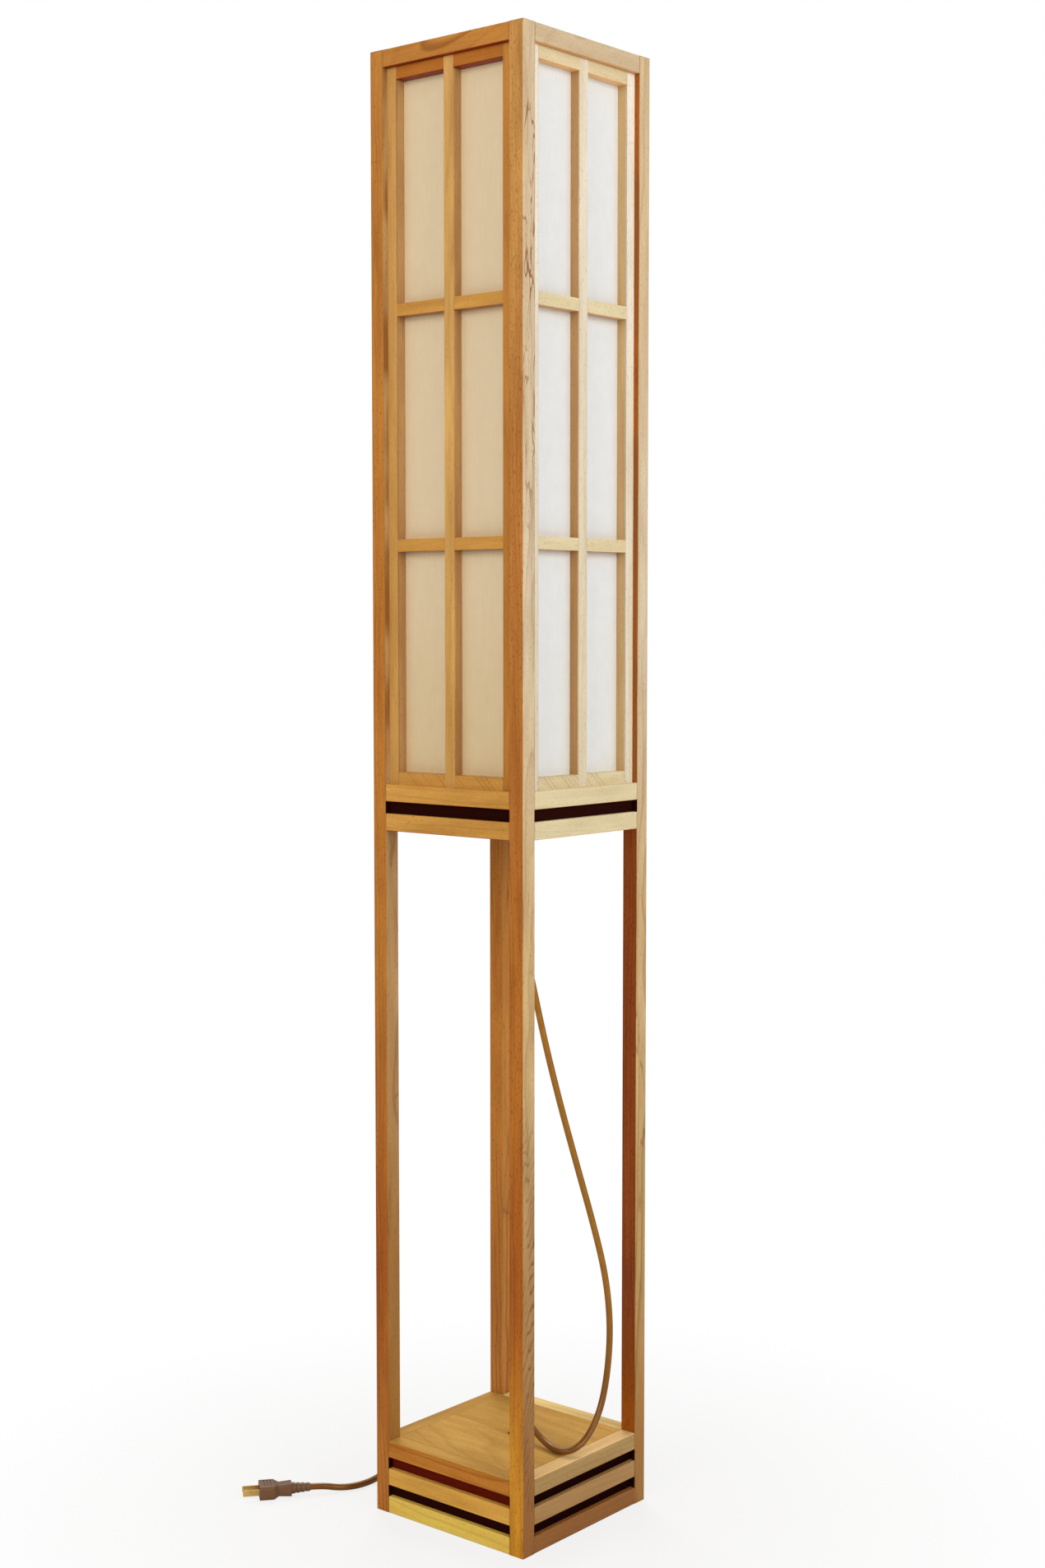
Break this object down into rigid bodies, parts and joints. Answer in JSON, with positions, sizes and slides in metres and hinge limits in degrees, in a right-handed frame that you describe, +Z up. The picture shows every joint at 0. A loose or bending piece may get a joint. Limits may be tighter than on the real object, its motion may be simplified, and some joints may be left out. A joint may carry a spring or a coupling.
{
  "type": "floor lamp",
  "caption": "Tall square post-and-rail floor lamp with a papered lattice shade over an open bay, a slotted base with a shelf, a globe bulb inside and a mains cord with a foot switch.",
  "frame": {"origin": "on the floor at the centre of the four posts' square plan", "axes": "+Z up along the lamp's height; -Y is the front side, +X the right side; the sides are square to X and Y"},
  "size_m": [0.3344, 0.3355, 1.495],
  "materials": {
    "wood_golden": "clear satin lacquer on golden hardwood",
    "wood_pale": "clear satin lacquer on pale hardwood",
    "wood_red_brown": "clear satin lacquer on reddish hardwood",
    "wood_dark_reveal": "dark stained, matt",
    "board_veneer": "satin veneer with cathedral figure",
    "shade_paper": "matt fibre paper",
    "white_ceramic": "glazed white ceramic",
    "brass": "bright rolled brass",
    "steel": "zinc-plated steel",
    "opal_glass": "satin opal glass",
    "brown_cord": "golden-brown plastic sheath, satin",
    "brown_plastic": "brown moulded plastic, satin",
    "dark_plastic": "dark brown moulded plastic, satin"
  },
  "bodies": {
    "root": {"post_front_left": "wood_red_brown", "post_front_right": "wood_golden", "post_back_right": "wood_red_brown", "post_back_left": "wood_pale", "base_rail_bottom_front": "wood_golden", "base_rail_bottom_right": "wood_pale", "base_rail_bottom_back": "wood_golden", "base_rail_bottom_left": "wood_pale", "base_rail_middle_front": "wood_golden", "base_rail_middle_right": "wood_pale", "base_rail_middle_back": "wood_golden", "base_rail_middle_left": "wood_pale", "base_rail_top_front": "wood_golden", "base_rail_top_right": "wood_pale", "base_rail_top_back": "wood_golden", "base_rail_top_left": "wood_pale", "waist_rail_lower_front": "wood_golden", "waist_rail_lower_right": "wood_pale", "waist_rail_lower_back": "wood_golden", "waist_rail_lower_left": "wood_pale", "waist_rail_upper_front": "wood_golden", "waist_rail_upper_right": "wood_pale", "waist_rail_upper_back": "wood_golden", "waist_rail_upper_left": "wood_pale", "top_rail_front": "wood_golden", "top_rail_right": "wood_pale", "top_rail_back": "wood_golden", "top_rail_left": "wood_pale", "reveal_strips": "wood_dark_reveal", "panel_front_frame": "wood_golden", "panel_front_lattice": "wood_golden", "panel_front_paper": "shade_paper", "panel_right_frame": "wood_pale", "panel_right_lattice": "wood_pale", "panel_right_paper": "shade_paper", "panel_back_frame": "wood_golden", "panel_back_lattice": "wood_golden", "panel_back_paper": "shade_paper", "panel_left_frame": "wood_pale", "panel_left_lattice": "wood_pale", "panel_left_paper": "shade_paper", "shelf_board": "board_veneer", "deck_board": "board_veneer", "bottom_board": "board_veneer", "lampholder": "white_ceramic", "lampholder_shell": "brass", "lampholder_screws": "steel", "cord_upper": "brown_cord", "cord_lead": "brown_cord", "cord_tail": "brown_cord", "cord_coil": "brown_cord", "cord_tie": "brown_plastic", "cord_bushings": "brown_plastic", "switch_housing": "brown_plastic", "plug_body": "brown_plastic", "plug_blades": "brass"},
    "bulb_lift": {"bulb_contact": "brass"},
    "bulb": {"bulb_cap": "brass", "bulb_globe": "opal_glass"},
    "switch_button": {"switch_button": "dark_plastic"}
  },
  "joints": [
    {"name": "bulb_lift", "type": "slide", "parent": "root", "child": "bulb_lift", "axis": [0, 0, 1], "range_m": [0, 0.0146]},
    {"name": "bulb_turn", "type": "hinge", "parent": "bulb_lift", "child": "bulb", "pos_m": [0, 0, 0.8], "axis": [0, 0, 1], "range_deg": [0, 1440]},
    {"name": "switch_press", "type": "slide", "parent": "root", "child": "switch_button", "axis": [0, 0, -1], "range_m": [0, 0.003], "stiffness_N_per_m": 900}
  ],
  "couplings": [
    {"joint": "bulb_lift", "follows": "bulb_turn", "m_per_rad": 0.0005775}
  ]
}
